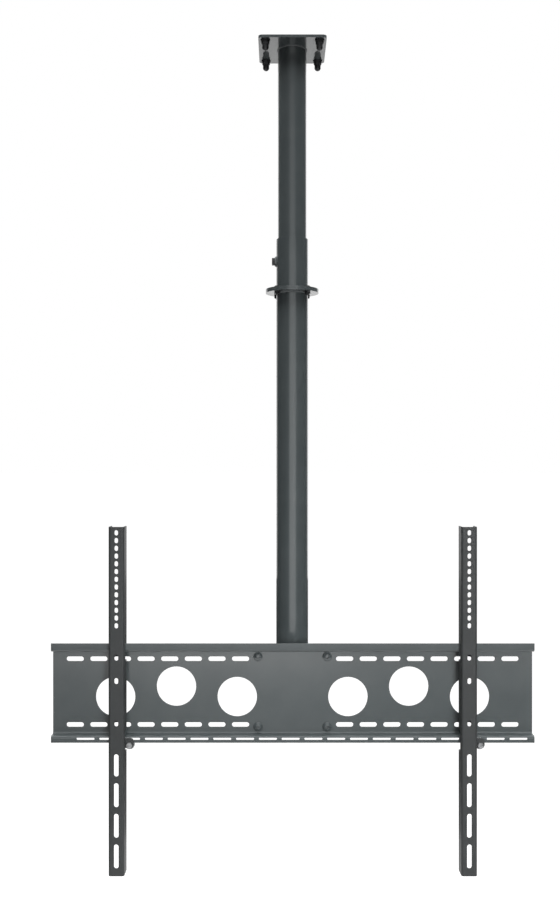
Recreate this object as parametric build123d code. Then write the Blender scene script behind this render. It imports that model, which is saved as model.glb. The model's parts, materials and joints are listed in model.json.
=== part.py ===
from build123d import *
import os

# A ceiling mount for a large screen: a telescoping pole under a small ceiling plate carries
# a wide slotted rail, and two upright arms hang on the rail.
# Millimetres, +Z up. The origin is the middle of the ceiling plate's top face, on the pole's axis.
# The screen side faces -Y.

# Ceiling plate and its fixings
plate_width = 126.0
plate_depth = 126.0
plate_thickness = 5.0
plate_corner_radius = 8.0
anchor_margin_x = 13.0
anchor_margin_y = 13.0
anchor_hole_clearance = 1.0
cap_nut_collar = 5.5
cap_nut_dome_height = 6.0

# Pole tubes, the outer ones sliding over the inner one
inner_tube_diameter = 54.0
inner_tube_wall = 3.0
inner_tube_tail = 100.0
outer_tube_wall = 2.7
tube_clearance = 0.3
sleeve_length = 98.0
lower_tube_length = 788.0
end_cap_rim = 3.0
end_cap_depth = 16.0
end_cap_wall = 2.5
end_cap_clearance = 0.2

# Height of the sleeve's top below the ceiling: as shown, fully raised and fully lowered
sleeve_drop = 363.0
raised_sleeve_drop = 63.0
lowered_sleeve_drop = 513.0

# Height lock: a bolt through the sleeve rides in an upright slot of the inner tube
lock_bolt_below_sleeve_top = 41.5
lock_boss_diameter = 18.0
lock_boss_stand = 3.0
lock_bolt_reach = 2.0
lock_slot_clearance = 0.4
lock_slot_end_gap = 2.0

# Swivel: two round flanges face to face, the upper one with arc slots
flange_reach = 20.0
flange_thickness = 3.5
swivel_gap = 0.15
swivel_screw_count = 4
swivel_screw_offset = 10.0
swivel_screw_start = 45.0
swivel_half_angle = 30.0
swivel_end_angle = 2.0
swivel_slot_clearance = 0.4

# Tilt joint at the pole's lower end
pivot_above_tube_end = 64.0
tilt_lock_below_pivot = 40.0
tilt_down_angle = 15.0
tilt_up_angle = 5.0
tilt_end_angle = 1.5
tilt_boss_diameter = 22.0
tilt_boss_stand = 3.0
tilt_slot_clearance = 0.3
pivot_fit = 0.05
running_gap = 0.1

# Cradle: one folded sheet with four ears and two cheeks
cradle_thickness = 4.0
cradle_bend = 3.0
cradle_ear_margin_x = 12.0
cradle_ear_margin_z = 11.0
cradle_ear_radius = 8.0
cheek_round = 19.0
cheek_foot_inset = 12.0
cradle_bolt_beside_cheek = 25.9
cradle_bolt_edge_margin = 11.75

# Rail: one folded sheet, its face set back between two lips
rail_width = 874.0
rail_thickness = 2.5
rail_bend = 2.5
rail_face_height = 151.5
rail_before_tube = 40.0
rail_below_pivot = 17.0
rail_flange_depth = 18.0
rail_top_lip = 15.5
rail_bottom_lip = 12.4

# Round cable holes in the rail's face, the middle one of each three set higher
cable_hole_web = 9.75
cable_hole_first = 101.0
cable_hole_end_margin = 114.0
cable_hole_drops = (9.0, -10.0, 9.0)

# Slot rows in the rail's face and in its lower lip
face_slot_length = 31.5
face_slot_width = 8.5
face_slot_pitch = 43.1
face_slot_first = 95.0
face_slot_end_margin = 30.0
face_slot_edge_margin = 15.75
lip_slot_length = 32.5
lip_slot_radius = 1.5
lip_slot_pitch = 41.2
lip_slot_left_margin = 62.4
lip_slot_right_margin = 24.0
lip_slot_strip = 5.0
lip_slot_root = 3.5

# Arms: folded channels, open to the back
arm_inset = 120.3
arm_width = 28.6
arm_thickness = 2.5
arm_bend = 2.0
arm_above_rail = 211.5
arm_below_rail = 235.6
arm_front_gap = 14.0
arm_back_gap = 3.0
hook_clearance = 0.8
hook_seat_gap = 0.1
hook_above_bend = 4.0
hook_mouth = 20.0
foot_notch_above = 9.0
foot_notch_below = 16.0

# Arm slots: short ones above the rail, windows over it and long ones below
short_slot_width = 6.5
short_slot_length = 9.5
short_slot_pitch = 13.9
short_slot_first = 10.5
short_slot_rail_margin = 30.0
window_width = 7.0
window_length = 11.0
window_drops = (23.0, 65.0, 141.0)
long_slot_width = 8.4
long_slot_count = 4
long_slot_bridge = 11.5
long_slot_end_margin = 13.75
long_slot_rail_margin = 13.65
top_long_slot_trim = 3.0

# Arm lock: an ear beside each arm and a screw that grips the rail's lower lip
ear_reach = 15.0
ear_above_lip = 9.0
ear_below_lip = 8.6
ear_radius = 5.0
ear_bend = 1.5
lock_screw_drop = 0.6
lock_washer_diameter = 18.0
lock_washer_gap = 0.3

# Fasteners
m6_diameter = 6.0
m6_across_flats = 10.0
m6_head_height = 4.0
m6_nut_height = 5.0
m6_washer_thickness = 1.6
m8_diameter = 8.0
m8_across_flats = 13.0
m8_head_height = 5.3
m8_nut_height = 6.5
m8_washer_diameter = 18.0
m8_washer_thickness = 1.6
m10_diameter = 10.0
m10_across_flats = 17.0
m10_head_height = 6.4
m10_nut_height = 8.0
m10_washer_diameter = 22.0
m10_washer_thickness = 2.0
round_head_diameter = 17.0
round_head_height = 4.4
round_head_rim = 1.1
hex_chamfer = 0.9
bolt_clearance = 0.3
thread_clearance = 0.1
bolt_past_nut = 2.0

# Radii round the pole, worked out from the sizes above
inner_tube_radius = inner_tube_diameter / 2
outer_bore_radius = inner_tube_radius + tube_clearance
outer_tube_radius = outer_bore_radius + outer_tube_wall
flange_radius = outer_tube_radius + flange_reach
swivel_screw_radius = outer_tube_radius + swivel_screw_offset

# Levels along the pole
plate_underside = -plate_thickness
sleeve_top = -sleeve_drop
sleeve_bottom = sleeve_top - sleeve_length
lock_level = sleeve_top - lock_bolt_below_sleeve_top
lock_slot_half = m8_diameter / 2 + lock_slot_clearance
lock_slot_past = lock_slot_half + lock_slot_end_gap
lock_slot_top = -raised_sleeve_drop - lock_bolt_below_sleeve_top + lock_slot_past
lock_slot_bottom = -lowered_sleeve_drop - lock_bolt_below_sleeve_top - lock_slot_past
inner_tube_bottom = lock_slot_bottom - inner_tube_tail
lower_tube_top = sleeve_bottom - swivel_gap
lower_tube_bottom = lower_tube_top - lower_tube_length
pivot_level = lower_tube_bottom + pivot_above_tube_end
tilt_lock_level = pivot_level - tilt_lock_below_pivot
rail_middle = pivot_level - rail_below_pivot

# Planes of the rail, front to back and top to bottom
face_front = -outer_tube_radius - rail_before_tube
face_back = face_front + rail_thickness
lip_front = face_front - rail_flange_depth
lip_back = lip_front + rail_thickness
face_top = rail_middle + rail_face_height / 2
face_bottom = rail_middle - rail_face_height / 2
rail_top = face_top + rail_top_lip
rail_bottom = face_bottom - rail_bottom_lip

# The slot rows' distance from the rail's middle, and the cable holes that fill the space between them
face_slot_offset = rail_face_height / 2 - face_slot_edge_margin
cable_hole_shift = max(abs(drop) for drop in cable_hole_drops)
cable_hole_radius = face_slot_offset - face_slot_width / 2 - cable_hole_web - cable_hole_shift

# Planes of the arms
arm_offset = rail_width / 2 - arm_inset
arm_front = lip_front - arm_front_gap
arm_back = face_front - arm_back_gap
arm_top = rail_top + arm_above_rail
arm_bottom = rail_bottom - arm_below_rail
ear_back = lip_front - hook_clearance
ear_front = ear_back - arm_thickness
ear_top = rail_bottom + ear_above_lip
ear_bottom = rail_bottom - ear_below_lip
lock_screw_level = rail_bottom - lock_screw_drop - m6_diameter / 2
lock_screw_shift = arm_width / 2 + ear_reach / 2
lock_washer_seat = lip_back + lock_washer_gap

# Planes across the tilt joint and behind the rail
boss_face = outer_tube_radius + tilt_boss_stand
cheek_inner = boss_face + running_gap
cheek_outer = cheek_inner + cradle_thickness
tilt_washer_seat = cheek_outer + running_gap
tilt_bolt_seat = tilt_washer_seat + m10_washer_thickness
cradle_back = face_back + cradle_thickness
cradle_bolt_spacing_x = 2 * (cheek_outer + cradle_bolt_beside_cheek)
cradle_bolt_spacing_z = rail_face_height - 2 * cradle_bolt_edge_margin
cheek_foot_height = cradle_bolt_spacing_z - 2 * cheek_foot_inset


# Shared shapes
def along_x(x, y, z, sense=1):
    """A frame at a point whose own Z runs along X, forwards or backwards, and whose X is Y."""
    return Plane(origin=(x, y, z), x_dir=(0, 1, 0), z_dir=(sense, 0, 0))


def along_y(x, y, z):
    """A frame at a point whose own Z runs along +Y, whose X is X and whose Y points down."""
    return Plane(origin=(x, y, z), x_dir=(1, 0, 0), z_dir=(0, 1, 0))


def block(low, high):
    """A block given by its lowest and highest corners."""
    size = [b - a for a, b in zip(low, high)]
    return Pos(*low) * Box(*size, align=Align.MIN)


def bar(radius, bottom, top):
    """An upright round bar on the pole's axis."""
    return Pos(0, 0, bottom) * extrude(Circle(radius), top - bottom)


def tube(outer_radius, inner_radius, bottom, top):
    """An upright tube on the pole's axis."""
    return bar(outer_radius, bottom, top) - bar(inner_radius, bottom, top)


def folded_section(points, thickness, bend):
    """The section of a folded sheet, given the corners of its middle line."""
    return trace(FilletPolyline(*points, radius=bend + thickness / 2), line_width=thickness)


def corners(spacing_across, spacing_up):
    """The four corners of a bolt rectangle."""
    return [(i * spacing_across / 2, j * spacing_up / 2) for j in (1, -1) for i in (-1, 1)]


def steps(first, last, pitch):
    """Places at an even pitch from the first one, as many as fit before the last."""
    count = 1 + int((last - first) / pitch)
    return [first + i * pitch for i in range(count)]


def hexagon_block(across_flats, height):
    """A six-sided block from z 0 upwards, its upper corners turned off."""
    hexagon = extrude(RegularPolygon(across_flats / 2, 6, major_radius=False), height)
    rim = across_flats / 2 + hex_chamfer
    blank = extrude(Circle(rim), height)
    return hexagon & chamfer(blank.edges().sort_by(Axis.Z)[-1], hex_chamfer)


def hex_bolt(diameter, across_flats, head_height, length):
    """A bolt seated at z 0: its shank runs up and its head hangs down."""
    head = Rot(180, 0, 0) * hexagon_block(across_flats, head_height)
    return head + extrude(Circle(diameter / 2), length)


def hex_nut(diameter, across_flats, height):
    """A nut from z 0 upwards with a plain bore."""
    return hexagon_block(across_flats, height) - extrude(Circle(diameter / 2 + thread_clearance), height)


def washer(diameter, hole_diameter, thickness):
    """A flat washer from z 0 upwards."""
    return extrude(Circle(diameter / 2) - Circle(hole_diameter / 2 + bolt_clearance), thickness)


def domed_head(diameter, height):
    """A round head that hangs down from z 0: a straight rim and a crown that is part of a sphere."""
    radius = diameter / 2
    crown = height - round_head_rim
    sphere_radius = (radius**2 + crown**2) / (2 * crown)
    return bar(radius, -height, 0) & Pos(0, 0, sphere_radius - height) * Sphere(sphere_radius)


# Ceiling mount
def anchor_places():
    """The four anchors of the ceiling plate."""
    return corners(plate_width - 2 * anchor_margin_x, plate_depth - 2 * anchor_margin_y)


def make_ceiling_plate():
    """A flat plate with rounded corners and four anchor holes."""
    outline = RectangleRounded(plate_width, plate_depth, plate_corner_radius)
    for x, y in anchor_places():
        outline -= Pos(x, y) * Circle(m8_diameter / 2 + anchor_hole_clearance)
    return Pos(0, 0, plate_underside) * extrude(outline, plate_thickness)


def make_ceiling_washers():
    """A washer under the plate at each anchor."""
    one = washer(m8_washer_diameter, m8_diameter, m8_washer_thickness)
    level = plate_underside - m8_washer_thickness
    return [Pos(x, y, level) * one for x, y in anchor_places()]


def make_ceiling_cap_nuts():
    """Closed nuts with a long domed end, for the ceiling's own studs."""
    hexagon = Rot(180, 0, 0) * hex_nut(m8_diameter, m8_across_flats, m8_nut_height)
    cap_diameter = m8_across_flats - hex_chamfer
    collar_end = -m8_nut_height - cap_nut_collar
    collar = bar(cap_diameter / 2, collar_end, -m8_nut_height)
    one = hexagon + collar + Pos(0, 0, collar_end) * domed_head(cap_diameter, cap_nut_dome_height)
    level = plate_underside - m8_washer_thickness
    return [Pos(x, y, level) * one for x, y in anchor_places()]


def make_inner_tube():
    """The fixed tube, slotted on its left side for the height lock."""
    bore = inner_tube_radius - inner_tube_wall
    body = tube(inner_tube_radius, bore, inner_tube_bottom, plate_underside)
    slot = SlotOverall(lock_slot_top - lock_slot_bottom, 2 * lock_slot_half, rotation=90)
    middle = (lock_slot_top + lock_slot_bottom) / 2
    return body - along_x(0, 0, middle, -1) * extrude(slot, inner_tube_diameter)


# Height sleeve
def lock_bolt_hole():
    """The way of the lock bolt, from the pole's axis to the left."""
    hole = extrude(Circle(m8_diameter / 2 + bolt_clearance), 2 * outer_tube_radius)
    return along_x(0, 0, lock_level, -1) * hole


def make_sleeve_tube():
    """The short outer tube that carries the lock bolt."""
    return tube(outer_tube_radius, outer_bore_radius, sleeve_bottom, sleeve_top) - lock_bolt_hole()


def make_lock_boss():
    """A turned boss on the sleeve's left side, saddled to the tube."""
    stub = extrude(Circle(lock_boss_diameter / 2), outer_tube_radius + lock_boss_stand)
    core = bar(outer_tube_radius, sleeve_bottom, sleeve_top)
    return along_x(0, 0, lock_level, -1) * stub - core - lock_bolt_hole()


def make_lock_bolt():
    """A hexagon bolt through boss and sleeve, its tip in the inner tube's slot."""
    seat = outer_tube_radius + lock_boss_stand
    tip = inner_tube_radius - inner_tube_wall - lock_bolt_reach
    bolt = hex_bolt(m8_diameter, m8_across_flats, m8_head_height, seat - tip)
    return along_x(-seat, 0, lock_level) * bolt


def flange_ring():
    """A flange's outline round the pole."""
    return Circle(flange_radius) - Circle(outer_tube_radius)


def swivel_places():
    """The frames of the swivel screws on their circle."""
    return PolarLocations(swivel_screw_radius, swivel_screw_count, swivel_screw_start)


def make_sleeve_flange():
    """The upper flange, with an arc slot for each swivel screw."""
    ring = flange_ring()
    half_angle = swivel_half_angle + swivel_end_angle
    arc = CenterArc((0, 0), swivel_screw_radius, -half_angle, 2 * half_angle)
    slot = SlotArc(arc, m6_diameter + 2 * swivel_slot_clearance)
    for i in range(swivel_screw_count):
        ring -= Rot(0, 0, swivel_screw_start + i * 360 / swivel_screw_count) * slot
    return Pos(0, 0, sleeve_bottom) * extrude(ring, flange_thickness)


# Lower pole
def make_lower_tube():
    """The long outer tube, cross-drilled for the two tilt bolts."""
    body = tube(outer_tube_radius, outer_bore_radius, lower_tube_bottom, lower_tube_top)
    hole = extrude(Circle(m10_diameter / 2 + bolt_clearance), 2 * outer_tube_radius, both=True)
    for level in (pivot_level, tilt_lock_level):
        body -= along_x(0, 0, level) * hole
    return body


def make_swivel_flange():
    """The lower flange, drilled for the swivel screws."""
    ring = flange_ring()
    for place in swivel_places():
        ring -= place * Circle(m6_diameter / 2 + bolt_clearance)
    return Pos(0, 0, lower_tube_top - flange_thickness) * extrude(ring, flange_thickness)


def make_swivel_screws():
    """Round-headed screws through both flanges, heads on top."""
    seat = sleeve_bottom + flange_thickness + running_gap
    end = lower_tube_top - flange_thickness - m6_nut_height - bolt_past_nut
    shank = extrude(Circle(m6_diameter / 2), seat - end)
    head_diameter = m6_across_flats + 2 * hex_chamfer
    one = Rot(180, 0, 0) * (shank + domed_head(head_diameter, m6_head_height))
    return [Pos(0, 0, seat) * place * one for place in swivel_places()]


def make_swivel_nuts():
    """A nut under the lower flange on each swivel screw."""
    one = Rot(180, 0, 0) * hex_nut(m6_diameter, m6_across_flats, m6_nut_height)
    level = lower_tube_top - flange_thickness
    return [Pos(0, 0, level) * place * one for place in swivel_places()]


def make_tilt_bosses():
    """Turned bosses on both sides of the tube at each tilt bolt, saddled to the tube."""
    ring = Circle(tilt_boss_diameter / 2) - Circle(m10_diameter / 2 + bolt_clearance)
    stub = extrude(ring, boss_face)
    core = bar(outer_tube_radius, lower_tube_bottom, lower_tube_top)
    return [
        along_x(0, 0, level, side) * stub - core
        for level in (pivot_level, tilt_lock_level)
        for side in (-1, 1)
    ]


def tilt_bolt(level):
    """A long bolt across the tube and both cheeks, its head on the left."""
    length = 2 * tilt_bolt_seat + m10_nut_height + bolt_past_nut
    bolt = hex_bolt(m10_diameter, m10_across_flats, m10_head_height, length)
    return along_x(-tilt_bolt_seat, 0, level) * bolt


def tilt_nut(level):
    """The nut on a tilt bolt's right end."""
    return along_x(tilt_bolt_seat, 0, level) * hex_nut(m10_diameter, m10_across_flats, m10_nut_height)


def make_tilt_washers():
    """A washer outside each cheek on both tilt bolts."""
    one = washer(m10_washer_diameter, m10_diameter, m10_washer_thickness)
    return [
        along_x(side * tilt_washer_seat, 0, level, side) * one
        for level in (pivot_level, tilt_lock_level)
        for side in (-1, 1)
    ]


def make_tube_end_cap():
    """A moulded plug with a rim, hollow from above, in the lower tube's end."""
    plug_radius = outer_bore_radius - end_cap_clearance
    plug_top = lower_tube_bottom + end_cap_depth
    plug = tube(plug_radius, plug_radius - end_cap_wall, lower_tube_bottom, plug_top)
    rim = bar(outer_tube_radius, lower_tube_bottom - end_cap_rim, lower_tube_bottom)
    outer_edge = rim.edges().sort_by(Axis.Z)[0]
    return plug + chamfer(outer_edge, end_cap_rim / 2)


# Screen plate
def face_cutter(outline, x, z):
    """A cut through the rail's face and the cradle behind it."""
    depth = 3 * rail_thickness + cradle_thickness
    return along_y(x, face_front - rail_thickness, z) * extrude(outline, depth)


def cradle_bolt_places():
    """The four cradle bolts on the rail's face."""
    return [(x, rail_middle + z) for x, z in corners(cradle_bolt_spacing_x, cradle_bolt_spacing_z)]


def cable_hole_places():
    """The large round holes, three each side, the middle one of each three set higher."""
    last = rail_width / 2 - cable_hole_end_margin
    pitch = (last - cable_hole_first) / (len(cable_hole_drops) - 1)
    return [
        (side * (cable_hole_first + i * pitch), rail_middle - drop)
        for side in (-1, 1)
        for i, drop in enumerate(cable_hole_drops)
    ]


def face_slot_places():
    """The two rows of slots, a group each side of the middle."""
    columns = steps(face_slot_first, rail_width / 2 - face_slot_end_margin, face_slot_pitch)
    return [
        (side * column, rail_middle + row * face_slot_offset)
        for side in (-1, 1)
        for row in (-1, 1)
        for column in columns
    ]


def lip_slot_places():
    """The row of slots along the lower lip, from its left end."""
    first = lip_slot_left_margin - rail_width / 2
    return steps(first, rail_width / 2 - lip_slot_right_margin, lip_slot_pitch)


def rail_section():
    """The folded section of the rail, from the top lip to the bottom lip."""
    half = rail_thickness / 2
    lip = lip_front + half
    face = face_front + half
    top = face_top + half
    bottom = face_bottom - half
    points = [(lip, rail_top), (lip, top), (face, top), (face, bottom), (lip, bottom), (lip, rail_bottom)]
    return folded_section(points, rail_thickness, rail_bend)


def make_rail_plate():
    """The wide rail with its cable holes, slot rows, bolt holes and slotted lower lip."""
    body = extrude(Plane.YZ * rail_section(), rail_width / 2, both=True)
    cuts = [face_cutter(Circle(cable_hole_radius), x, z) for x, z in cable_hole_places()]
    slot = SlotOverall(face_slot_length, face_slot_width)
    cuts += [face_cutter(slot, x, z) for x, z in face_slot_places()]
    bolt_hole = Circle(m8_diameter / 2 + bolt_clearance)
    cuts += [face_cutter(bolt_hole, x, z) for x, z in cradle_bolt_places()]
    slot_height = rail_bottom_lip - lip_slot_strip - lip_slot_root
    slot_level = rail_bottom + lip_slot_strip + slot_height / 2
    lip_slot = extrude(RectangleRounded(lip_slot_length, slot_height, lip_slot_radius), 3 * rail_thickness)
    cuts += [along_y(x, lip_front - rail_thickness, slot_level) * lip_slot for x in lip_slot_places()]
    return body - cuts


def cheek_outline():
    """The side view of the cradle's cheeks: a foot on the rail's back, rounded round both tilt bolts."""
    foot = Pos((face_back + cradle_back) / 2, rail_middle) * Rectangle(cradle_thickness, cheek_foot_height)
    ends = [Pos(0, level) * Circle(cheek_round) for level in (pivot_level, tilt_lock_level)]
    return make_hull(foot.edges() + ends[0].edges() + ends[1].edges())


def make_tilt_cradle():
    """A folded bracket: two cheeks for the tilt bolts on a back plate with four ears."""
    half = cradle_thickness / 2
    side = cheek_inner + half
    base = face_back + half
    reach = cheek_round + cradle_thickness
    points = [(-side, reach), (-side, base), (side, base), (side, reach)]
    channel = Pos(0, 0, rail_middle - cheek_foot_height / 2) * extrude(
        folded_section(points, cradle_thickness, cradle_bend), cheek_foot_height
    )
    body = channel & extrude(Plane.YZ * cheek_outline(), 2 * cheek_outer, both=True)
    ear_width = cradle_bolt_spacing_x + 2 * cradle_ear_margin_x
    ear_height = 2 * cradle_ear_margin_z
    ear = RectangleRounded(ear_width, ear_height, cradle_ear_radius)
    waist = Rectangle(2 * cheek_inner, cradle_bolt_spacing_z)
    outline = waist
    for end in (-1, 1):
        outline += Pos(0, end * cradle_bolt_spacing_z / 2) * ear
    body += along_y(0, face_back, rail_middle) * extrude(outline, cradle_thickness)
    bolt_hole = Circle(m8_diameter / 2 + bolt_clearance)
    body -= [face_cutter(bolt_hole, x, z) for x, z in cradle_bolt_places()]
    pivot_hole = Pos(0, pivot_level) * Circle(m10_diameter / 2 + pivot_fit)
    sweep = tilt_down_angle + tilt_up_angle + 2 * tilt_end_angle
    arc = CenterArc((0, pivot_level), tilt_lock_below_pivot, -90 - tilt_down_angle - tilt_end_angle, sweep)
    lock_slot = SlotArc(arc, m10_diameter + 2 * tilt_slot_clearance)
    for cut in (pivot_hole, lock_slot):
        body -= extrude(Plane.YZ * cut, 2 * cheek_outer, both=True)
    return body


def make_cradle_bolts():
    """Round-headed bolts through rail and cradle, heads on the rail's face."""
    length = rail_thickness + cradle_thickness + m8_washer_thickness + m8_nut_height + bolt_past_nut
    one = extrude(Circle(m8_diameter / 2), length) + domed_head(round_head_diameter, round_head_height)
    return [along_y(x, face_front, z) * one for x, z in cradle_bolt_places()]


def make_cradle_washers():
    """A washer behind the cradle on each bolt."""
    one = washer(m8_washer_diameter, m8_diameter, m8_washer_thickness)
    return [along_y(x, cradle_back, z) * one for x, z in cradle_bolt_places()]


def make_cradle_nuts():
    """A nut behind each washer."""
    one = hex_nut(m8_diameter, m8_across_flats, m8_nut_height)
    return [along_y(x, cradle_back + m8_washer_thickness, z) * one for x, z in cradle_bolt_places()]


# Arms
def web_slot(length, width, z):
    """An upright slot through an arm's front web."""
    slot = SlotOverall(length, width, rotation=90)
    return along_y(0, arm_front - arm_thickness, z) * extrude(slot, 3 * arm_thickness)


def screen_slots():
    """All slots of an arm's web: short ones above, windows over the rail and long ones below."""
    short_drops = steps(short_slot_first, arm_above_rail - short_slot_rail_margin, short_slot_pitch)
    cuts = [web_slot(short_slot_length, short_slot_width, arm_top - drop) for drop in short_drops]
    cuts += [web_slot(window_length, window_width, rail_top - drop) for drop in window_drops]
    long_rows = arm_below_rail - long_slot_end_margin - long_slot_rail_margin
    pitch = (long_rows + long_slot_bridge) / long_slot_count
    length = pitch - long_slot_bridge
    first = arm_bottom + long_slot_end_margin + length / 2
    levels = [first + i * pitch for i in range(long_slot_count)]
    cuts += [web_slot(length, long_slot_width, level) for level in levels[:-1]]
    top_level = levels[-1] - top_long_slot_trim / 2
    return cuts + [web_slot(length - top_long_slot_trim, long_slot_width, top_level)]


def flange_notches():
    """Cuts in an arm's flanges: the hook over the rail's top lip and the foot round its lower lip."""
    past = arm_width
    lip_low = lip_front - hook_clearance
    lip_high = lip_back + hook_clearance
    hook_end = face_top + hook_above_bend
    foot_top = face_bottom + foot_notch_above
    foot_bottom = rail_bottom - foot_notch_below
    return [
        block((-past, lip_low, hook_end), (past, lip_high, rail_top + hook_seat_gap)),
        block((-past, lip_low, hook_end - hook_mouth), (past, face_front, hook_end)),
        block((-past, lip_low, foot_bottom), (past, face_front, foot_top)),
    ]


def make_arm_channel():
    """An upright channel with screen slots, hooked flanges and a lock ear bent from its right flange."""
    half = arm_thickness / 2
    side = arm_width / 2 - half
    web = arm_front + half
    points = [(-side, arm_back), (-side, web), (side, web), (side, arm_back)]
    section = folded_section(points, arm_thickness, arm_bend)
    body = Pos(0, 0, arm_bottom) * extrude(section, arm_top - arm_bottom)
    body -= screen_slots() + flange_notches()
    ear_outer = arm_width / 2 + ear_reach
    ear = block((side - half, ear_front, ear_bottom), (ear_outer, ear_back, ear_top))
    ear = fillet(ear.edges().filter_by(Axis.Y).group_by(Axis.X)[-1], ear_radius)
    body += ear
    bend_line = body.edges().filter_by(Axis.Z).filter_by(
        lambda e: abs(e.center().X - arm_width / 2) < half / 4 and abs(e.center().Y - ear_front) < half / 4
    )
    body = fillet(bend_line, ear_bend)
    hole = extrude(Circle(m6_diameter / 2 + bolt_clearance), 3 * arm_thickness)
    return body - along_y(lock_screw_shift, ear_front - arm_thickness, lock_screw_level) * hole


def make_lock_screw():
    """A screw through the ear that passes just under the rail's lower lip."""
    end = lock_washer_seat + m6_washer_thickness + m6_nut_height + bolt_past_nut
    screw = hex_bolt(m6_diameter, m6_across_flats, m6_head_height, end - ear_front)
    return along_y(lock_screw_shift, ear_front, lock_screw_level) * screw


def make_lock_washer():
    """A wide washer behind the lower lip."""
    one = washer(lock_washer_diameter, m6_diameter, m6_washer_thickness)
    return along_y(lock_screw_shift, lock_washer_seat, lock_screw_level) * one


def make_lock_nut():
    """The nut behind the wide washer."""
    seat = lock_washer_seat + m6_washer_thickness
    nut = hex_nut(m6_diameter, m6_across_flats, m6_nut_height)
    return along_y(lock_screw_shift, seat, lock_screw_level) * nut


# All pieces by name
pieces = {
    "ceiling_plate": make_ceiling_plate(),
    "ceiling_washers": make_ceiling_washers(),
    "ceiling_cap_nuts": make_ceiling_cap_nuts(),
    "inner_tube": make_inner_tube(),
    "sleeve_tube": make_sleeve_tube(),
    "sleeve_flange": make_sleeve_flange(),
    "lock_boss": make_lock_boss(),
    "lock_bolt": make_lock_bolt(),
    "lower_tube": make_lower_tube(),
    "swivel_flange": make_swivel_flange(),
    "swivel_screws": make_swivel_screws(),
    "swivel_nuts": make_swivel_nuts(),
    "tilt_bosses": make_tilt_bosses(),
    "pivot_bolt": tilt_bolt(pivot_level),
    "pivot_nut": tilt_nut(pivot_level),
    "tilt_lock_bolt": tilt_bolt(tilt_lock_level),
    "tilt_lock_nut": tilt_nut(tilt_lock_level),
    "tilt_washers": make_tilt_washers(),
    "tube_end_cap": make_tube_end_cap(),
    "rail_plate": make_rail_plate(),
    "tilt_cradle": make_tilt_cradle(),
    "cradle_bolts": make_cradle_bolts(),
    "cradle_washers": make_cradle_washers(),
    "cradle_nuts": make_cradle_nuts(),
}
arm_pieces = {
    "arm_channel": make_arm_channel(),
    "lock_screw": make_lock_screw(),
    "lock_washer": make_lock_washer(),
    "lock_nut": make_lock_nut(),
}
for side_name, side in (("left", -1), ("right", 1)):
    for name, piece in arm_pieces.items():
        pieces[f"{side_name}_{name}"] = Pos(side * arm_offset, 0, 0) * piece

os.makedirs("parts", exist_ok=True)
for name, piece in pieces.items():
    solids = piece if isinstance(piece, list) else [piece]
    bodies = [solid for shape in solids for solid in shape.solids()]
    export_step(bodies[0] if len(bodies) == 1 else Compound(bodies), f"parts/{name}.step")
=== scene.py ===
import json
import math

import bmesh
import bpy
from mathutils import Matrix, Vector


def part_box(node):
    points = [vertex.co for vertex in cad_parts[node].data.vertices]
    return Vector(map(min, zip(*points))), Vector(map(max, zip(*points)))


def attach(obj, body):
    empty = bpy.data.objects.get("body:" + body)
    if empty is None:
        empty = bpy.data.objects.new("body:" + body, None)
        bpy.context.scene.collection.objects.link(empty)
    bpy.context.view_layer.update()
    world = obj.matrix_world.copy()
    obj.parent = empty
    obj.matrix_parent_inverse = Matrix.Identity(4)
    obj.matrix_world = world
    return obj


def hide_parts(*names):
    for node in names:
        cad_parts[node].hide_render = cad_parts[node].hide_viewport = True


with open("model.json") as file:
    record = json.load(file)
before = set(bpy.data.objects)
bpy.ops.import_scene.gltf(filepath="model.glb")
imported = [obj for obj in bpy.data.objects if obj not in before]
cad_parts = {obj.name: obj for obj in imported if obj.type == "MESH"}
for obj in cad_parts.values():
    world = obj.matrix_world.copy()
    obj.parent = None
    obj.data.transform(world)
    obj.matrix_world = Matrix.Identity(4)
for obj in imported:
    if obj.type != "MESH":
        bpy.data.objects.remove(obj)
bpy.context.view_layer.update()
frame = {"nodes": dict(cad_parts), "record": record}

# The view
camera_place = (-0.023, -1.920, -0.7685)
camera_lens = 40.2
camera_film = 36.0
camera_reach = 200.0

# Patterns of the finishes: lumps a metre, depths and radii in metres
noise_low = 0.3
noise_high = 0.7
fine_detail = 3.0
edge_samples = 4
coat_mottle_lumps = 26.0
coat_gloss_lumps = 240.0
coat_peel_lumps = 900.0
coat_peel_strength = 0.25
coat_peel_depth = 0.00006
coat_edge_radius = 0.0006
skin_index = 1.6
steel_grain_strength = 0.2
steel_grain_depth = 0.00004
steel_edge_radius = 0.0004
plastic_grain_strength = 0.5
plastic_grain_depth = 0.00008

# Heads and threads of the bolts and screws
turn_steps = 36
crown_steps = 6
sharp_angle = math.radians(32.0)
head_bevel_inset = 0.000225
head_bevel_height = 0.00045
crown_start_to_socket = 0.6
thread_rings_a_pitch = 6
thread_depth_to_pitch = 0.61
thread_runout_to_pitch = 0.25
thread_slope = 2.6
thread_flat = 0.15
m6_thread = {"diameter": 0.006, "pitch": 0.001}
m8_thread = {"diameter": 0.008, "pitch": 0.00125}
m10_thread = {"diameter": 0.010, "pitch": 0.0015}
m6_head = {"across_flats": 0.010, "height": 0.004}
m8_head = {"across_flats": 0.013, "height": 0.0053}
m10_head = {"across_flats": 0.017, "height": 0.0064}
cradle_head = {"diameter": 0.017, "height": 0.0044, "rim": 0.0011, "socket": 0.005, "depth": 0.0026}
swivel_head = {"diameter": 0.0118, "height": 0.004, "rim": 0.0011, "socket": 0.004, "depth": 0.0022}
cradle_bolt_threaded = 0.014
swivel_screw_threaded = 0.012
lock_bolt_threaded = 0.010
tilt_bolt_threaded = 0.026
lock_screw_threaded = 0.014

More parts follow.
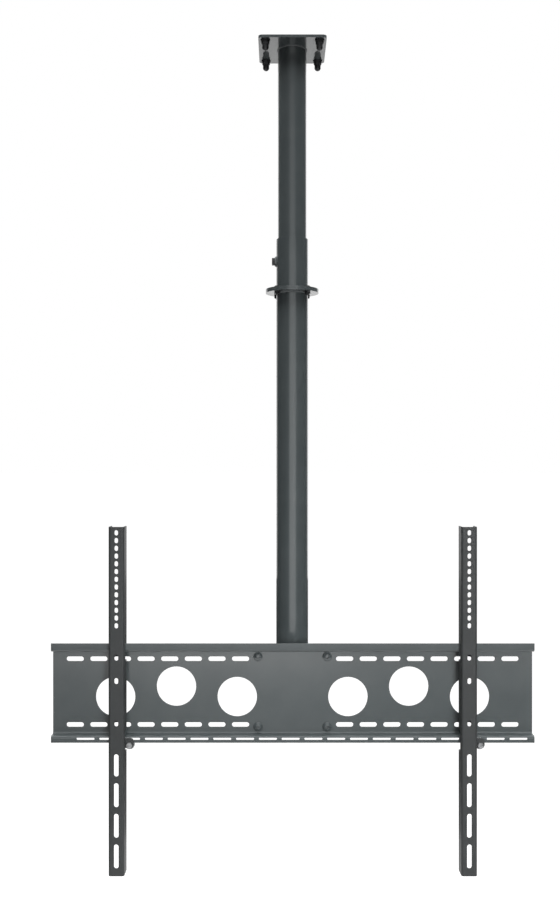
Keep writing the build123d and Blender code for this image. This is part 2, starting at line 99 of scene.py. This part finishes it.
# Sizes of the weld beads
path_steps = 96
bead_sides = 12
bead_step = 0.00028
bead_ripple = 0.0022
bead_hollow = 0.0005
bead_hollow_power = 3.0
plate_bead_radius = 0.0016
flange_bead_radius = 0.0020
boss_bead_radius = 0.0014

# The floor and the white surround
floor_level = -2.55
floor_half = 90.0
floor_paint = 0.4
floor_white_near = 0.25
floor_white_far = 1.0
floor_white_reach = 1.0
surround_level = 0.06

# Dark screens that the paint mirrors, their posts at angles from the front to the right
screen_paint = 0.02
screen_radius = 2.9
screen_low = floor_level
screen_high = 1.6
back_screen_top = -1.35
left_screen_angles = (-15, -60, -100, -138)
right_screen_angles = (25, 65, 102, 138)
back_screen_angles = (138, 166, 194, 222)

# Softboxes that the paint mirrors: levels at angles across, and at heights
softbox_distance = 2.6
rail_softbox_level = 1.92
rail_softbox_across = [
    (-23.0, 0.70), (-12.0, 0.86), (-4.0, 0.98), (1.0, 1.0), (6.0, 0.76), (10.0, 0.54), (15.0, 0.46),
    (22.0, 0.58), (41.0, 0.60),
]
rail_softbox_upright = [
    (-2.55, 0.10), (-2.0, 0.19), (-1.8, 0.35), (-1.7, 0.64), (-1.64, 0.96), (-1.624, 1.0), (-1.614, 0.18),
    (-1.595, 0.22), (-1.575, 0.60),
]
pole_softbox_level = 1.28
pole_softbox_across = [(-22.0, 1.0), (0.0, 1.0), (20.0, 0.84), (33.0, 0.76)]
pole_softbox_upright = [
    (-1.575, 0.90), (-1.4, 0.95), (-0.8, 0.84), (-0.2, 0.68), (0.1, 0.58), (0.3, 0.42), (0.7, 0.34),
    (0.8, 0.28), (0.9, 0.16), (1.0, 0.05), (1.6, 0.0),
]

# Lamps: place, point aimed at, side in metres, power in watts and beam in degrees
lamps = {
    "top_lamp": {
        "place": (0.2, -0.5, 2.0), "target": (0.2, -0.499, 0.0), "side": 4.0, "power": 200.0, "beam": 180.0,
    },
    "key_lamp": {
        "place": (1.1, -2.9, -0.9), "target": (0.0, 0.0, -1.4), "side": 0.9, "power": 6.0, "beam": 50.0,
    },
    "left_rim_lamp": {
        "place": (-2.2, 1.3, 1.5), "target": (0.0, 0.0, -0.9), "side": 1.2, "power": 45.0, "beam": 180.0,
    },
    "right_rim_lamp": {
        "place": (2.2, 1.3, 1.5), "target": (0.0, 0.0, -0.9), "side": 1.2, "power": 45.0, "beam": 180.0,
    },
}


# Node helpers
def bare_material(name):
    """A node material that holds only its output, and the surface socket of that."""
    material = bpy.data.materials.new(name)
    material.use_nodes = True
    tree = material.node_tree
    tree.nodes.clear()
    output = tree.nodes.new("ShaderNodeOutputMaterial")
    return material, tree, output.inputs["Surface"]


def shaded_material(name):
    """A node material that holds only its shader and its output."""
    material, tree, surface = bare_material(name)
    shader = tree.nodes.new("ShaderNodeBsdfPrincipled")
    tree.links.new(shader.outputs["BSDF"], surface)
    return material, tree, shader


def object_place(tree):
    """The place on the piece, in metres of the shared frame."""
    return tree.nodes.new("ShaderNodeTexCoord").outputs["Object"]


def work_out(tree, operation, *values):
    """The result of an operation on values, each a socket or a plain number."""
    node = tree.nodes.new("ShaderNodeMath")
    node.operation = operation
    for place, value in zip(node.inputs, values):
        if isinstance(value, float):
            place.default_value = value
        else:
            tree.links.new(value, place)
    return node.outputs[0]


def carry_over(tree, value, low, high, new_low=0.0, new_high=1.0):
    """A value between two ends carried over to two other ends."""
    node = tree.nodes.new("ShaderNodeMapRange")
    ends = {"From Min": low, "From Max": high, "To Min": new_low, "To Max": new_high}
    for name, end in ends.items():
        node.inputs[name].default_value = end
    tree.links.new(value, node.inputs["Value"])
    return node.outputs["Result"]


def noise(tree, place, lumps, detail=2.0):
    """A soft noise with a given number of lumps a metre."""
    node = tree.nodes.new("ShaderNodeTexNoise")
    node.inputs["Scale"].default_value = lumps
    node.inputs["Detail"].default_value = detail
    tree.links.new(place, node.inputs["Vector"])
    return node.outputs["Fac"]


def spread(tree, value, low=0.0, high=1.0):
    """The middle of a noise's range spread over the range that a finish needs."""
    return carry_over(tree, value, noise_low, noise_high, low, high)


def blend_colours(tree, amount, first, second):
    """One colour running into another."""
    node = tree.nodes.new("ShaderNodeMix")
    node.data_type = "RGBA"
    tree.links.new(amount, node.inputs["Factor"])
    for socket, colour in (("A", first), ("B", second)):
        inputs = [i for i in node.inputs if i.name == socket and i.type == "RGBA"]
        inputs[0].default_value = (*colour, 1.0)
    return [o for o in node.outputs if o.type == "RGBA"][0]


def bump(tree, height, strength, depth, normal=None):
    """A relief of a given depth in metres."""
    node = tree.nodes.new("ShaderNodeBump")
    node.inputs["Strength"].default_value = strength
    node.inputs["Distance"].default_value = depth
    tree.links.new(height, node.inputs["Height"])
    if normal is not None:
        tree.links.new(normal, node.inputs["Normal"])
    return node.outputs["Normal"]


def soft_edge(tree, radius):
    """Edges that look broken by a small radius."""
    node = tree.nodes.new("ShaderNodeBevel")
    node.samples = edge_samples
    node.inputs["Radius"].default_value = radius
    return node.outputs["Normal"]


# Finishes
def mottled(name, colours, mottle, roughness, gloss):
    """A material whose colour and roughness vary over the piece, each by its own noise."""
    material, tree, shader = shaded_material(name)
    place = object_place(tree)
    colour = blend_colours(tree, spread(tree, noise(tree, place, **mottle)), *colours)
    tree.links.new(colour, shader.inputs["Base Color"])
    dull = spread(tree, noise(tree, place, **gloss), *roughness)
    tree.links.new(dull, shader.inputs["Roughness"])
    return material, tree, shader, place


def powder_coat(name, colours, roughness, skin, skin_roughness):
    """Powder coat: a fine orange peel in a mottled colour under an even, clear skin."""
    mottle = {"lumps": coat_mottle_lumps, "detail": fine_detail}
    gloss = {"lumps": coat_gloss_lumps}
    material, tree, shader, place = mottled(name, colours, mottle, roughness, gloss)
    shader.inputs["Coat Weight"].default_value = skin
    shader.inputs["Coat Roughness"].default_value = skin_roughness
    shader.inputs["Coat IOR"].default_value = skin_index
    edge = soft_edge(tree, coat_edge_radius)
    peel = bump(tree, noise(tree, place, coat_peel_lumps), coat_peel_strength, coat_peel_depth, edge)
    tree.links.new(peel, shader.inputs["Normal"])
    tree.links.new(edge, shader.inputs["Coat Normal"])
    return material


def plated_steel(name, colours, bloom_lumps, roughness, gloss_lumps, metal, grain_lumps):
    """Steel under a thin plating that is darker in places, with a fine grain."""
    bloom = {"lumps": bloom_lumps, "detail": fine_detail}
    material, tree, shader, place = mottled(name, colours, bloom, roughness, {"lumps": gloss_lumps})
    shader.inputs["Metallic"].default_value = metal
    edge = soft_edge(tree, steel_edge_radius)
    grain = bump(tree, noise(tree, place, grain_lumps), steel_grain_strength, steel_grain_depth, edge)
    tree.links.new(grain, shader.inputs["Normal"])
    return material


def dark_powder_coat():
    """The dark grey satin coat of plate, pole and rail, with a skin that mirrors soft lights."""
    return powder_coat(
        "dark_powder_coat",
        colours=((0.061, 0.073, 0.076), (0.071, 0.084, 0.087)),
        roughness=(0.36, 0.44),
        skin=1.0,
        skin_roughness=0.05,
    )


def black_powder_coat():
    """The near-black matt coat of the arms, with hardly any skin."""
    return powder_coat(
        "black_powder_coat",
        colours=((0.040, 0.043, 0.044), (0.048, 0.051, 0.052)),
        roughness=(0.48, 0.58),
        skin=0.15,
        skin_roughness=0.20,
    )


def blackened_steel():
    """Blackened steel of most bolts, nuts and washers: darker in places, with a dull metal sheen."""
    return plated_steel(
        "black_steel",
        colours=((0.030, 0.031, 0.033), (0.060, 0.061, 0.064)),
        bloom_lumps=320.0,
        roughness=(0.28, 0.42),
        gloss_lumps=500.0,
        metal=0.5,
        grain_lumps=1500.0,
    )


def zinc_plated_steel():
    """Zinc-plated steel of the arms' lock screws, washers and nuts: light grey with a faint bloom."""
    return plated_steel(
        "zinc_steel",
        colours=((0.38, 0.39, 0.40), (0.52, 0.53, 0.54)),
        bloom_lumps=700.0,
        roughness=(0.32, 0.48),
        gloss_lumps=900.0,
        metal=0.8,
        grain_lumps=1600.0,
    )


def black_plastic():
    """Moulded black plastic of the tube's end cap, with a fine spark grain."""
    material, tree, shader, place = mottled(
        "black_plastic",
        colours=((0.022, 0.022, 0.023), (0.030, 0.030, 0.031)),
        mottle={"lumps": 60.0},
        roughness=(0.48, 0.62),
        gloss={"lumps": 700.0},
    )
    sparks = noise(tree, place, lumps=1800.0, detail=1.0)
    grain = bump(tree, sparks, plastic_grain_strength, plastic_grain_depth)
    tree.links.new(grain, shader.inputs["Normal"])
    return material


finishes = {
    "dark_powder_coat": dark_powder_coat(),
    "black_powder_coat": black_powder_coat(),
    "black_steel": blackened_steel(),
    "zinc_steel": zinc_plated_steel(),
    "black_plastic": black_plastic(),
}


def finish_of(node):
    """The record's finish of a node of the frame."""
    return next(s["material_slot"] for s in frame["record"]["subparts"] if s["node"] == node)


def paint_frame():
    """Give each piece of the frame the finish that its record names."""
    for subpart in frame["record"]["subparts"]:
        piece = frame["nodes"][subpart["node"]]
        piece.data.materials.clear()
        piece.data.materials.append(finishes[subpart["material_slot"]])


paint_frame()


# Turned bolts, built along +Z with the seat at nought and the head below it
def full_turn(steps):
    """Angles at even steps all the way round."""
    return [2 * math.pi * i / steps for i in range(steps)]


def round_ring(radius):
    """A ring that is a circle."""
    return lambda turn: radius


def hexagon_ring(across_flats):
    """A ring that is a hexagon with a corner on the X axis."""
    return lambda turn: across_flats / 2 / math.cos(turn % (math.pi / 3) - math.pi / 6)


def thread_ring(diameter, pitch, level):
    """A ring across a thread: the ridge climbs one pitch a turn."""
    def radius(turn):
        share = (level / pitch - turn / (2 * math.pi)) % 1.0
        ridge = min(1.0, max(0.0, thread_slope * (0.5 - abs(share - 0.5)) - thread_flat))
        return diameter / 2 - thread_depth_to_pitch * pitch * (1.0 - ridge)
    return radius


def thread_rings(diameter, pitch, bottom, top):
    """The rings of a thread with a turned-down tip."""
    tip = thread_depth_to_pitch * pitch
    count = max(2, round(thread_rings_a_pitch * (top - tip - bottom) / pitch))
    levels = [bottom + i * (top - tip - bottom) / count for i in range(count + 1)]
    rings = [(level, thread_ring(diameter, pitch, level)) for level in levels]
    return rings + [(top, round_ring(diameter / 2 - tip))]


def shank_rings(diameter, pitch, length, threaded):
    """A plain shank from the seat and the thread at its end."""
    start = length - threaded
    plain = [(0.0, round_ring(diameter / 2)), (start, round_ring(diameter / 2))]
    return plain + thread_rings(diameter, pitch, start + thread_runout_to_pitch * pitch, length)


def hexagon_head(across_flats, height):
    """A hexagon head with its outer corners turned off."""
    top = round_ring(across_flats / 2 - head_bevel_inset)
    sides = hexagon_ring(across_flats)
    return [(-height, top), (head_bevel_height - height, sides), (0.0, sides)]


def socket_head(diameter, height, rim, socket, depth):
    """A domed head on a straight rim, with a hexagon socket in its crown."""
    radius = diameter / 2
    crown = height - rim
    sphere = (radius**2 + crown**2) / (2 * crown)
    inner = crown_start_to_socket * socket
    dome = []
    for i in range(crown_steps + 1):
        reach = inner + (radius - inner) * i / crown_steps
        dome.append((sphere - height - math.sqrt(sphere**2 - reach**2), round_ring(reach)))
    crown_level = dome[0][0]
    hole = [(depth - height, hexagon_ring(socket)), (crown_level, hexagon_ring(socket))]
    return hole + dome + [(0.0, round_ring(radius))]


def turned_mesh(name, rings, way):
    """A closed piece through rings of points, turned so that its axis follows a way."""
    build = bmesh.new()
    turns = full_turn(turn_steps)
    loops = []
    for level, radius in rings:
        points = [(radius(t) * math.cos(t), radius(t) * math.sin(t), level) for t in turns]
        loops.append([build.verts.new(point) for point in points])
    for low, high in zip(loops, loops[1:]):
        for i in range(turn_steps):
            build.faces.new((low[i - 1], low[i], high[i], high[i - 1]))
    build.faces.new(loops[0])
    build.faces.new(loops[-1])
    bmesh.ops.recalc_face_normals(build, faces=build.faces)
    mesh = bpy.data.meshes.new(name)
    build.to_mesh(mesh)
    build.free()
    mesh.transform(way)
    mesh.shade_smooth()
    mesh.set_sharp_from_angle(angle=sharp_angle)
    return mesh


def axes(first, second, third):
    """A turn that lays X, Y and Z along three given directions."""
    return Matrix((first, second, third)).transposed().to_4x4()


to_right = axes((0, 1, 0), (0, 0, 1), (1, 0, 0))
to_back = axes((1, 0, 0), (0, 0, -1), (0, 1, 0))
to_floor = axes((1, 0, 0), (0, -1, 0), (0, 0, -1))


# Pieces that ride on the frame
def new_piece(name, mesh):
    """A piece in the scene, its place in its mesh."""
    piece = bpy.data.objects.new(name, mesh)
    bpy.context.scene.collection.objects.link(piece)
    return piece


def points_mesh(name, paths, closed):
    """A mesh of points, joined into closed paths where it is wanted."""
    points, edges = [], []
    for path in paths:
        first = len(points)
        points += path
        if closed:
            edges += [(first + i, first + (i + 1) % len(path)) for i in range(len(path))]
    mesh = bpy.data.meshes.new(name)
    mesh.from_pydata(points, edges, [])
    return mesh


def stand_for(piece, node, body):
    """Let a piece ride on a body in place of a node of the frame."""
    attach(piece, body)
    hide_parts(node)


# Trees of geometry nodes
def new_tree(name, inputs):
    """A tree with named inputs after its geometry, the finish the last of them."""
    tree = bpy.data.node_groups.new(name, "GeometryNodeTree")
    tree.interface.new_socket("Geometry", in_out="OUTPUT", socket_type="NodeSocketGeometry")
    tree.interface.new_socket("Geometry", in_out="INPUT", socket_type="NodeSocketGeometry")
    for label, kind in (*inputs, ("Finish", "NodeSocketMaterial")):
        tree.interface.new_socket(label, in_out="INPUT", socket_type=kind)
    return tree, tree.nodes.new("NodeGroupInput")


def end_tree(tree, source, geometry):
    """Make a tree's copies real, give them the finish and hand them out."""
    solid = tree.nodes.new("GeometryNodeRealizeInstances")
    tree.links.new(geometry, solid.inputs["Geometry"])
    coat = tree.nodes.new("GeometryNodeSetMaterial")
    tree.links.new(solid.outputs["Geometry"], coat.inputs["Geometry"])
    tree.links.new(source.outputs["Finish"], coat.inputs["Material"])
    result = tree.nodes.new("NodeGroupOutput")
    tree.links.new(coat.outputs["Geometry"], result.inputs["Geometry"])


def grow(name, host_mesh, tree, values):
    """Run a tree on a host mesh and keep its result as a plain mesh."""
    host = new_piece(name + "_host", host_mesh)
    modifier = host.modifiers.new("tree", "NODES")
    modifier.node_group = tree
    for item in tree.interface.items_tree:
        if item.name in values:
            modifier[item.identifier] = values[item.name]
    graph = bpy.context.evaluated_depsgraph_get()
    mesh = bpy.data.meshes.new_from_object(host.evaluated_get(graph))
    bpy.data.objects.remove(host)
    return new_piece(name, mesh)


def bolt_pattern_tree():
    """One bolt set on each point of a pattern."""
    tree, source = new_tree("bolt_pattern", [("Bolt", "NodeSocketObject")])
    link = tree.links.new
    bolt = tree.nodes.new("GeometryNodeObjectInfo")
    link(source.outputs["Bolt"], bolt.inputs["Object"])
    copies = tree.nodes.new("GeometryNodeInstanceOnPoints")
    link(source.outputs["Geometry"], copies.inputs["Points"])
    link(bolt.outputs["Geometry"], copies.inputs["Instance"])
    end_tree(tree, source, copies.outputs["Instances"])
    return tree


def weld_bead_tree():
    """A round bead along closed paths, drawn in between its ripples."""
    sizes = ("Bead Radius", "Ripple Pitch", "Ripple Depth", "Step")
    tree, source = new_tree("weld_bead", [(size, "NodeSocketFloat") for size in sizes])
    link = tree.links.new
    path = tree.nodes.new("GeometryNodeMeshToCurve")
    link(source.outputs["Geometry"], path.inputs["Mesh"])
    even = tree.nodes.new("GeometryNodeResampleCurve")
    even.mode = "LENGTH"
    link(path.outputs["Curve"], even.inputs["Curve"])
    link(source.outputs["Step"], even.inputs["Length"])
    length = tree.nodes.new("GeometryNodeSplineLength").outputs["Length"]
    along = tree.nodes.new("GeometryNodeSplineParameter").outputs["Factor"]
    ripples = work_out(tree, "ROUND", work_out(tree, "DIVIDE", length, source.outputs["Ripple Pitch"]))
    phase = work_out(tree, "FRACT", work_out(tree, "MULTIPLY", along, ripples))
    from_crest = work_out(tree, "MULTIPLY", work_out(tree, "SUBTRACT", phase, 0.5), 2.0)
    share = work_out(tree, "POWER", work_out(tree, "ABSOLUTE", from_crest), bead_hollow_power)
    hollow = work_out(tree, "MULTIPLY", share, source.outputs["Ripple Depth"])
    radius = work_out(tree, "SUBTRACT", source.outputs["Bead Radius"], hollow)
    section = tree.nodes.new("GeometryNodeCurvePrimitiveCircle")
    section.inputs["Resolution"].default_value = bead_sides
    section.inputs["Radius"].default_value = 1.0
    bead = tree.nodes.new("GeometryNodeCurveToMesh")
    link(even.outputs["Curve"], bead.inputs["Curve"])
    link(section.outputs["Curve"], bead.inputs["Profile Curve"])
    link(radius, bead.inputs["Scale"])
    end_tree(tree, source, bead.outputs["Mesh"])
    return tree


bolt_pattern = bolt_pattern_tree()
weld_bead = weld_bead_tree()


# Weld beads
outer_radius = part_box("sleeve_tube")[1].x


def ring_path(radius, level):
    """A level circle round the pole."""
    return [(radius * math.cos(t), radius * math.sin(t), level) for t in full_turn(path_steps)]


def saddle_path(tube_radius, stub_radius, level, side):
    """The line on which a round stub along X meets the pole, on one side of it."""
    path = []
    for t in full_turn(path_steps):
        y = stub_radius * math.cos(t)
        path.append((side * math.sqrt(tube_radius**2 - y**2), y, level + stub_radius * math.sin(t)))
    return path


def make_welds(name, body, bead_radius, paths):
    """Painted weld beads along paths, riding on a body."""
    values = {
        "Bead Radius": bead_radius,
        "Ripple Pitch": bead_ripple,
        "Ripple Depth": bead_hollow,
        "Step": bead_step,
        "Finish": finishes["dark_powder_coat"],
    }
    piece = grow(name, points_mesh(name + "_path", paths, True), weld_bead, values)
    piece.data.shade_smooth()
    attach(piece, body)


def weld_plate():
    """The inner tube's bead under the ceiling plate."""
    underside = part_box("ceiling_plate")[0].z
    inner_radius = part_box("inner_tube")[1].x
    make_welds("plate_weld", "ceiling_mount", plate_bead_radius, [ring_path(inner_radius, underside)])


def weld_flanges():
    """The outer tubes' beads on top of the upper flange and under the lower one."""
    upper_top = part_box("sleeve_flange")[1].z
    lower_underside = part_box("swivel_flange")[0].z
    upper_path = ring_path(outer_radius, upper_top)
    make_welds("sleeve_flange_weld", "height_sleeve", flange_bead_radius, [upper_path])
    lower_path = ring_path(outer_radius, lower_underside)
    make_welds("swivel_flange_weld", "lower_pole", flange_bead_radius, [lower_path])


def weld_lock_boss():
    """The bead round the height lock's boss, on the left of the sleeve."""
    low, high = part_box("lock_boss")
    path = saddle_path(outer_radius, high.y, (low.z + high.z) / 2, -1)
    make_welds("lock_boss_weld", "height_sleeve", boss_bead_radius, [path])


def weld_tilt_bosses():
    """The beads round the four bosses of the tilt joint."""
    low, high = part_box("tilt_bosses")
    radius = high.y
    levels = (high.z - radius, low.z + radius)
    paths = [saddle_path(outer_radius, radius, level, side) for level in levels for side in (-1, 1)]
    make_welds("tilt_boss_welds", "lower_pole", boss_bead_radius, paths)


weld_plate()
weld_flanges()
weld_lock_boss()
weld_tilt_bosses()


# Bolts and screws in place of the plain ones
def make_bolt(node, body, head, thread, threaded, way):
    """A hexagon bolt with a thread, where the frame has its plain one."""
    low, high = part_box(node)
    along = [round(part) for part in way.col[2]].index(1)
    length = high[along] - low[along] - head["height"]
    rings = hexagon_head(**head) + shank_rings(**thread, length=length, threaded=threaded)
    seat = (low + high) / 2
    seat[along] = low[along] + head["height"]
    mesh = turned_mesh(node + "_threaded", rings, Matrix.Translation(seat) @ way)
    mesh.materials.append(finishes[finish_of(node)])
    stand_for(new_piece(node + "_threaded", mesh), node, body)


def make_pattern(node, body, rings, way, places):
    """Copies of one screw on a pattern of places."""
    bolt = new_piece(node + "_one", turned_mesh(node + "_one", rings, way))
    values = {"Bolt": bolt, "Finish": finishes[finish_of(node)]}
    piece = grow(node + "_threaded", points_mesh(node + "_places", [places], False), bolt_pattern, values)
    bpy.data.objects.remove(bolt)
    stand_for(piece, node, body)


def make_cradle_bolts():
    """Four round-headed bolts on the rail's face."""
    low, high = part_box("cradle_bolts")
    height = cradle_head["height"]
    radius = cradle_head["diameter"] / 2
    shank = shank_rings(**m8_thread, length=high.y - low.y - height, threaded=cradle_bolt_threaded)
    columns = (low.x + radius, high.x - radius)
    rows = (low.z + radius, high.z - radius)
    places = [(x, low.y + height, z) for x in columns for z in rows]
    make_pattern("cradle_bolts", "screen_plate", socket_head(**cradle_head) + shank, to_back, places)


def make_swivel_screws():
    """Four round-headed screws through the flanges."""
    low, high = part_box("swivel_screws")
    height = swivel_head["height"]
    radius = swivel_head["diameter"] / 2
    shank = shank_rings(**m6_thread, length=high.z - low.z - height, threaded=swivel_screw_threaded)
    columns = (low.x + radius, high.x - radius)
    rows = (low.y + radius, high.y - radius)
    places = [(x, y, high.z - height) for x in columns for y in rows]
    make_pattern("swivel_screws", "lower_pole", socket_head(**swivel_head) + shank, to_floor, places)


make_cradle_bolts()
make_swivel_screws()
make_bolt("lock_bolt", "height_sleeve", m8_head, m8_thread, lock_bolt_threaded, to_right)
for tilt_node in ("pivot_bolt", "tilt_lock_bolt"):
    make_bolt(tilt_node, "lower_pole", m10_head, m10_thread, tilt_bolt_threaded, to_right)
for arm in ("left", "right"):
    make_bolt(arm + "_lock_screw", arm + "_arm", m6_head, m6_thread, lock_screw_threaded, to_back)


# Studio
def stage_piece(name, corners, faces, material):
    """A flat stage piece that isn't part of the object."""
    mesh = bpy.data.meshes.new(name)
    mesh.from_pydata(corners, [], faces)
    mesh.materials.append(material)
    piece = new_piece(name, mesh)
    return piece


def seen_directly(tree):
    """One for rays from the camera and for mirrored or refracted ones, nought for soft light."""
    path = tree.nodes.new("ShaderNodeLightPath").outputs
    seen = work_out(tree, "MAXIMUM", path["Is Camera Ray"], path["Is Glossy Ray"])
    return work_out(tree, "MAXIMUM", seen, path["Is Transmission Ray"])


def make_floor():
    """A wide pale floor far below the hanging object, which looks whiter further out."""
    material, tree, surface = bare_material("pale_floor")
    paint = tree.nodes.new("ShaderNodeBsdfDiffuse")
    paint.inputs["Color"].default_value = (floor_paint, floor_paint, floor_paint, 1.0)
    reach = tree.nodes.new("ShaderNodeVectorMath")
    reach.operation = "LENGTH"
    tree.links.new(object_place(tree), reach.inputs[0])
    near = -floor_level
    far = near + floor_white_reach
    level = carry_over(tree, reach.outputs["Value"], near, far, floor_white_near, floor_white_far)
    white = tree.nodes.new("ShaderNodeEmission")
    tree.links.new(work_out(tree, "MULTIPLY", level, seen_directly(tree)), white.inputs["Strength"])
    both = tree.nodes.new("ShaderNodeAddShader")
    tree.links.new(paint.outputs[0], both.inputs[0])
    tree.links.new(white.outputs[0], both.inputs[1])
    tree.links.new(both.outputs[0], surface)
    sides = ((-1, -1), (1, -1), (1, 1), (-1, 1))
    corners = [(x * floor_half, y * floor_half, floor_level) for x, y in sides]
    stage_piece("floor", corners, [(0, 1, 2, 3)], material)


def dark_cloth():
    """Dull black cloth for the screens."""
    material, tree, surface = bare_material("dark_cloth")
    shader = tree.nodes.new("ShaderNodeBsdfPrincipled")
    shader.inputs["Base Color"].default_value = (screen_paint, screen_paint, screen_paint, 1.0)
    shader.inputs["Roughness"].default_value = 1.0
    tree.links.new(shader.outputs["BSDF"], surface)
    return material


def around(angles):
    """Posts round the object, at given angles from the front to the right."""
    turns = [math.radians(angle) for angle in angles]
    return [(screen_radius * math.sin(turn), -screen_radius * math.cos(turn)) for turn in turns]


def make_screen(name, posts, bottom, top, material):
    """A screen between upright posts that only shows in the paint's gloss."""
    corners = [(x, y, z) for x, y in posts for z in (bottom, top)]
    faces = [(2 * i, 2 * i + 2, 2 * i + 3, 2 * i + 1) for i in range(len(posts) - 1)]
    screen = stage_piece(name, corners, faces, material)
    screen.visible_camera = False
    screen.visible_diffuse = False
    screen.visible_shadow = False


def graded(tree, value, stops):
    """A level that follows stops along a value."""
    places, levels = zip(*stops)
    first = places[0]
    last = places[-1]
    shares = [(place - first) / (last - first) for place in places]
    ramp = tree.nodes.new("ShaderNodeValToRGB")
    ramp.color_ramp.interpolation = "CARDINAL"
    elements = ramp.color_ramp.elements
    for share in shares[1:-1]:
        elements.new(share)
    for element, share, level in zip(elements, shares, levels):
        element.position = share
        element.color = (level, level, level, 1.0)
    tree.links.new(carry_over(tree, value, first, last), ramp.inputs["Fac"])
    return ramp.outputs["Color"]


def make_softbox(name, full_level, across_stops, upright_stops):
    """A large flat soft light in front, graded across and upright, that the paint mirrors."""
    material, tree, surface = bare_material(name + "_cloth")
    split = tree.nodes.new("ShaderNodeSeparateXYZ")
    tree.links.new(object_place(tree), split.inputs[0])
    ahead = work_out(tree, "MULTIPLY", split.outputs["Y"], -1.0)
    turn = work_out(tree, "ARCTAN2", split.outputs["X"], ahead)
    degrees = work_out(tree, "MULTIPLY", turn, math.degrees(1.0))
    across = graded(tree, degrees, across_stops)
    upright = graded(tree, split.outputs["Z"], upright_stops)
    level = work_out(tree, "MULTIPLY", work_out(tree, "MULTIPLY", across, upright), full_level)
    glow = tree.nodes.new("ShaderNodeEmission")
    tree.links.new(level, glow.inputs["Strength"])
    tree.links.new(glow.outputs[0], surface)
    turns = [math.radians(angle) for angle in (across_stops[0][0], across_stops[-1][0])]
    posts = [(softbox_distance * math.tan(turn), -softbox_distance) for turn in turns]
    make_screen(name, posts, upright_stops[0][0], upright_stops[-1][0], material)


def make_world():
    """A plain white surround that lights the object softly."""
    world = bpy.data.worlds.new("white_surround")
    bpy.context.scene.world = world
    world.use_nodes = True
    tree = world.node_tree
    tree.nodes.clear()
    sky = tree.nodes.new("ShaderNodeBackground")
    sky.inputs["Color"].default_value = (1.0, 1.0, 1.0, 1.0)
    strength = carry_over(tree, seen_directly(tree), 0.0, 1.0, surround_level, 1.0)
    tree.links.new(strength, sky.inputs["Strength"])
    output = tree.nodes.new("ShaderNodeOutputWorld")
    tree.links.new(sky.outputs[0], output.inputs["Surface"])


def make_lamp(name, place, target, side, power, beam):
    """A soft square lamp aimed at a point, with a beam of a given angle."""
    lamp = bpy.data.lights.new(name, "AREA")
    lamp.shape = "SQUARE"
    lamp.size = side
    lamp.energy = power
    lamp.spread = math.radians(beam)
    holder = bpy.data.objects.new(name, lamp)
    holder.location = place
    x, y, z = [b - a for a, b in zip(place, target)]
    holder.rotation_euler = (math.atan2(math.hypot(x, y), -z), 0.0, math.atan2(-x, y))
    bpy.context.scene.collection.objects.link(holder)
    holder.visible_glossy = False
    holder.visible_camera = False


def make_camera():
    """The photograph's viewpoint: level with the object's middle, a little to the left of the pole."""
    camera = bpy.data.cameras.new("camera")
    camera.sensor_fit = "AUTO"
    camera.sensor_width = camera_film
    camera.lens = camera_lens
    camera.clip_end = camera_reach
    holder = bpy.data.objects.new("camera", camera)
    holder.location = camera_place
    holder.rotation_euler = (math.pi / 2, 0.0, 0.0)
    bpy.context.scene.collection.objects.link(holder)
    bpy.context.scene.camera = holder


make_floor()
cloth = dark_cloth()
make_screen("left_screen", around(left_screen_angles), screen_low, screen_high, cloth)
make_screen("right_screen", around(right_screen_angles), screen_low, screen_high, cloth)
make_screen("back_screen", around(back_screen_angles), screen_low, back_screen_top, cloth)
make_softbox("rail_softbox", rail_softbox_level, rail_softbox_across, rail_softbox_upright)
make_softbox("pole_softbox", pole_softbox_level, pole_softbox_across, pole_softbox_upright)
make_world()
for lamp_name, lamp_values in lamps.items():
    make_lamp(lamp_name, **lamp_values)
make_camera()
bpy.context.scene.view_settings.view_transform = "Standard"
